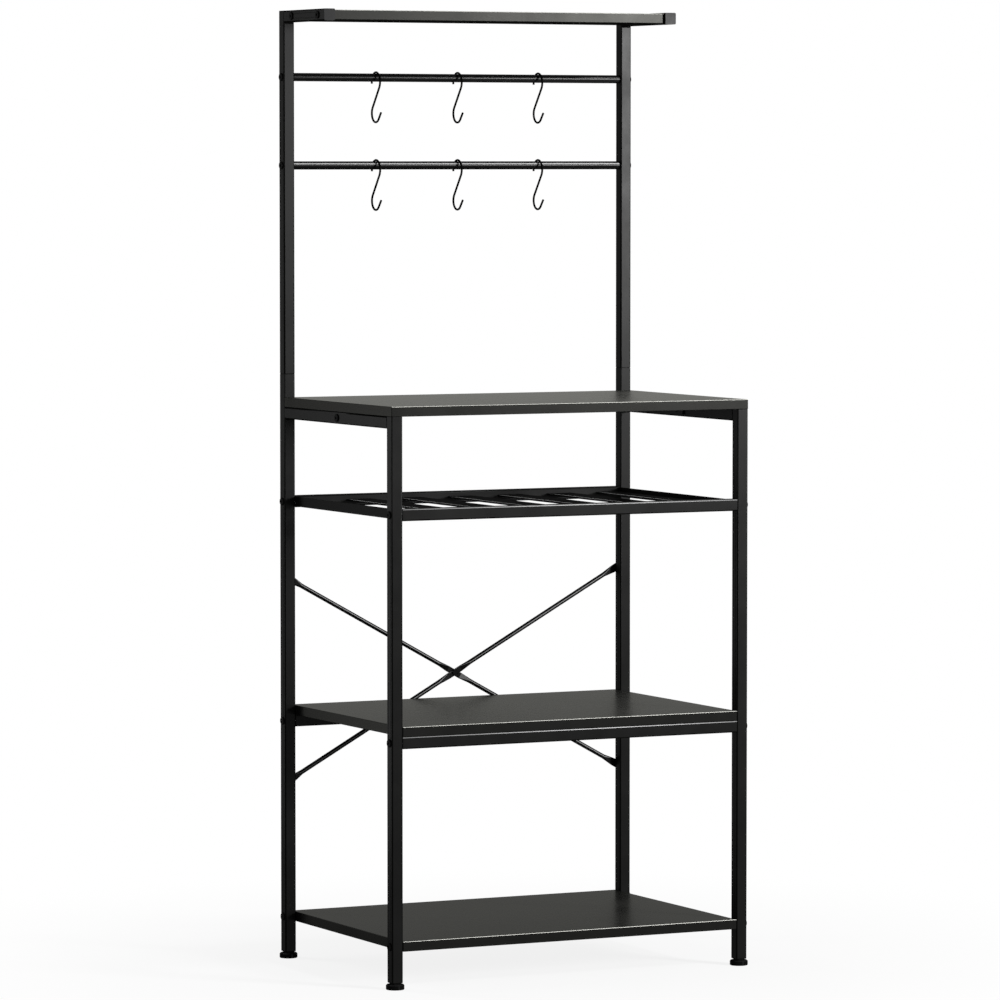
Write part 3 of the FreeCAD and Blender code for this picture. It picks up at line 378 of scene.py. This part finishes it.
# The two hook rods: thin round tube with a glossy black coat, in which the lamp shows as a line.
# The lower one has a pale highlight line painted along its upper front.
upper_rod_coat = black_finish(
    "glossy_black_rod_coat", colours=("#0a0a0a", "#101010"), patch=20 * MM,
    roughness=(0.2, 0.26), sheen=(0.009, 0.03),
)
finish(["hook_rod_upper"], upper_rod_coat)
PAINTED_ROD_HIGHLIGHT = (0.45, 0.15, -0.3)
lower_rod_coat = black_finish(
    "black_rod_coat_painted_highlight", colours=("#0a0a0a", "#101010"), patch=20 * MM,
    roughness=(0.22, 0.28), sheen=(0.007, 0.03), painted_edge_light_and_shade=(0.22, 0.003), highlight_normals=PAINTED_ROD_HIGHLIGHT,
)
finish(["hook_rod_lower"], lower_rod_coat)

# The S-hooks: bent wire with a thin semi-gloss black coat. It mirrors next to nothing, so that the
# hooks stay black before the pale surroundings.
hook_coat = black_finish(
    "semi_gloss_hook_coat", colours=("#060606", "#0a0a0a"), patch=8 * MM,
    roughness=(0.3, 0.4), sheen=(0.0005, 0.002),
)
finish([n for n in nodes if n.startswith("s_hook")], hook_coat)

# The crossed brace behind: two steel rods, flattened at the ends and where they cross, with a
# glossier coat than the tubes, and a thin highlight line painted along the front of each rod.
PAINTED_BRACE_HIGHLIGHT = (0.2, 0.12, -0.3)
brace_coat = black_finish(
    "gloss_black_powder_coat", colours=("#080808", "#0e0e0e"), patch=20 * MM,
    roughness=(0.2, 0.28), sheen=(0.006, 0.02), painted_edge_light_and_shade=(0.07, 0.005), highlight_normals=PAINTED_BRACE_HIGHLIGHT,
)
finish(["brace_rod_rising", "brace_rod_falling"], brace_coat)

# Screws, bolts, the rivet and the threaded studs of the feet: steel with a black finish, and heads
# that were turned and are satin.
black_steel = black_finish(
    "blackened_screw_steel", colours=("#060606", "#0a0a0a"), patch=3 * MM,
    roughness=(0.35, 0.45), sheen=(0.003, 0.04),
)
finish(["frame_screws", "worktop_screws", "bracket_screws", "middle_board_screws",
        "brace_bolts", "brace_rivet"], black_steel)
finish([n for n in nodes if n.startswith("foot_stud")], black_steel)

# Threaded plugs, bushes and rivet nuts inside the tubes and boards: steel with bright zinc plating,
# a pale grey with faint spangle.
SPANGLE = 4 * MM
zinc, output = new_material("zinc_plated_steel")
place = add_node(zinc, "ShaderNodeTexCoord").outputs["Object"]
cloud = add_node(zinc, "ShaderNodeTexNoise", inputs={
    "Vector": place, "Scale": 1 / SPANGLE, "Detail": 3, "Roughness": 0.6,
})
tone = add_node(zinc, "ShaderNodeMix", {"data_type": "RGBA"}, {
    "Factor": cloud.outputs["Fac"], "A": srgb("#b9bcc0"), "B": srgb("#cfd1d4"),
})
gloss = add_node(zinc, "ShaderNodeMapRange", inputs={
    "Value": cloud.outputs["Fac"], "To Min": 0.25, "To Max": 0.4,
})
add_node(zinc, "ShaderNodeBsdfPrincipled", inputs={
    "Base Color": tone.outputs["Result"], "Roughness": gloss.outputs["Result"], "Metallic": 1,
}, to=output.inputs["Surface"])
finish(["board_bushes", "brace_rivet_nuts", "rod_end_inserts", "tube_end_inserts"], zinc)

# The two angle brackets under the worktop: bent steel with the frame's coat. Their edges are broken
# as finely as the rims of the frame's holes.
finish(["worktop_brackets"], powder_coat)
deburr("worktop_brackets", RIM_WIDTH)

# Plastic caps in the open tube ends, the threaded plugs in the posts' feet and the foot pads: all
# moulded, with the fine matt texture of the mould and rounded edges.
MOULD_TEXTURE = (0.4 * MM, 0.03 * MM, 0.3)
CAP_EDGE = 0.9 * MM
# Upright corners and undersides of the plastic are painted dark as shade.
plastic = black_finish(
    "moulded_black_plastic", colours=("#090909", "#0f0f0f"), patch=15 * MM,
    roughness=(0.3, 0.36), sheen=(0.006, 0.05), painted_edge_light_and_shade=(0.006, 0.0003), grain=MOULD_TEXTURE,
)
finish(["tube_end_caps", "post_plugs"], plastic)
finish([n for n in nodes if n.startswith("foot_pad")], plastic)
deburr("tube_end_caps", CAP_EDGE)

# The floor: a plain pale sheet, which keeps the object's shadow. Where it is seen, white is mixed
# in: a share of NEAR_WHITE up to FADE_FROM from its middle, and white alone from FADE_TO on.
FLOOR_RADIUS = 14
FADE_FROM = 0.3
FADE_TO = 1.2
NEAR_WHITE = 0.86


def seen_or_mirrored(material):
    """A share: 1 for what the camera sees, also in a gloss or through glass, and 0 for light."""
    rays = add_node(material, "ShaderNodeLightPath")
    seen = rays.outputs["Is Camera Ray"]
    for kind in ("Is Glossy Ray", "Is Transmission Ray"):
        seen = add_node(material, "ShaderNodeMath", {"operation": "MAXIMUM"}, {
            0: seen, 1: rays.outputs[kind],
        }).outputs["Value"]
    return seen


floor_mesh = bpy.data.meshes.new("floor")
shape = bmesh.new()
bmesh.ops.create_circle(shape, cap_ends=True, segments=96, radius=FLOOR_RADIUS)
shape.to_mesh(floor_mesh)
shape.free()
floor = bpy.data.objects.new("floor", floor_mesh)
bpy.context.scene.collection.objects.link(floor)

pale_floor, output = new_material("pale_floor")
reach = add_node(pale_floor, "ShaderNodeVectorMath", {"operation": "LENGTH"}, {
    0: add_node(pale_floor, "ShaderNodeTexCoord").outputs["Object"],
})
fade = add_node(pale_floor, "ShaderNodeMapRange", {"interpolation_type": "SMOOTHSTEP"}, {
    "Value": reach.outputs["Value"], "From Min": FADE_FROM, "From Max": FADE_TO,
    "To Min": NEAR_WHITE, "To Max": 1,
})
share = add_node(pale_floor, "ShaderNodeMath", {"operation": "MULTIPLY"}, {
    0: seen_or_mirrored(pale_floor), 1: fade.outputs["Result"],
})
sheet = add_node(pale_floor, "ShaderNodeBsdfDiffuse", inputs={"Color": srgb("#ededed")})
white = add_node(pale_floor, "ShaderNodeEmission", inputs={"Color": (1, 1, 1, 1), "Strength": 1})
add_node(pale_floor, "ShaderNodeMixShader", inputs={
    "Fac": share.outputs["Value"], 1: sheet.outputs["BSDF"], 2: white.outputs["Emission"],
}, to=output.inputs["Surface"])
floor_mesh.materials.append(pale_floor)

# The light: a plain soft level all round, which is white where it is seen or mirrored, two
# softboxes at the right front and a reflector at the left. The high softbox casts the shadows. The
# lower one stands where the front faces of the upper part mirror it.
SOFT_LEVEL = 0.25
LAMPS_AIM = (0, 0, 0.9)
world = bpy.data.worlds.new("studio")
bpy.context.scene.world = world
world.use_nodes = True
world.node_tree.nodes.clear()
output = add_node(world, "ShaderNodeOutputWorld")
level = add_node(world, "ShaderNodeMapRange", inputs={
    "Value": seen_or_mirrored(world), "To Min": SOFT_LEVEL, "To Max": 1,
})
add_node(world, "ShaderNodeBackground", inputs={
    "Color": (1, 1, 1, 1), "Strength": level.outputs["Result"],
}, to=output.inputs["Surface"])

for name, width, height, power, spot in (
    ("high_softbox", 0.8, 0.8, 130, (2.9, -3.9, 4.0)),
    ("side_softbox", 0.9, 0.9, 200, (2.5, -3.8, 1.5)),
    ("left_reflector", 0.6, 1.9, 18, (-1.25, 1.35, 0.95)),
):
    lamp = bpy.data.lights.new(name, "AREA")
    lamp.shape = "RECTANGLE"
    lamp.size = width
    lamp.size_y = height
    lamp.energy = power
    softbox = bpy.data.objects.new(name, lamp)
    bpy.context.scene.collection.objects.link(softbox)
    softbox.location = spot
    aim = Vector(LAMPS_AIM) - softbox.location
    softbox.rotation_euler = aim.to_track_quat("-Z", "Y").to_euler()

# The camera stands to the left of the front, a little above the worktop, and looks slightly down.
DOWNWARD = 0.059424
TURNED_RIGHT = 0.463346
view = bpy.data.cameras.new("camera")
view.sensor_width = 36
view.lens = 206.395
view.clip_end = 100
camera = bpy.data.objects.new("camera", view)
bpy.context.scene.collection.objects.link(camera)
camera.location = (-3.927710, -7.819286, 1.230015)
camera.rotation_euler = (math.pi / 2 - DOWNWARD, 0, -TURNED_RIGHT)
bpy.context.scene.camera = camera

bpy.context.scene.view_settings.view_transform = "Standard"
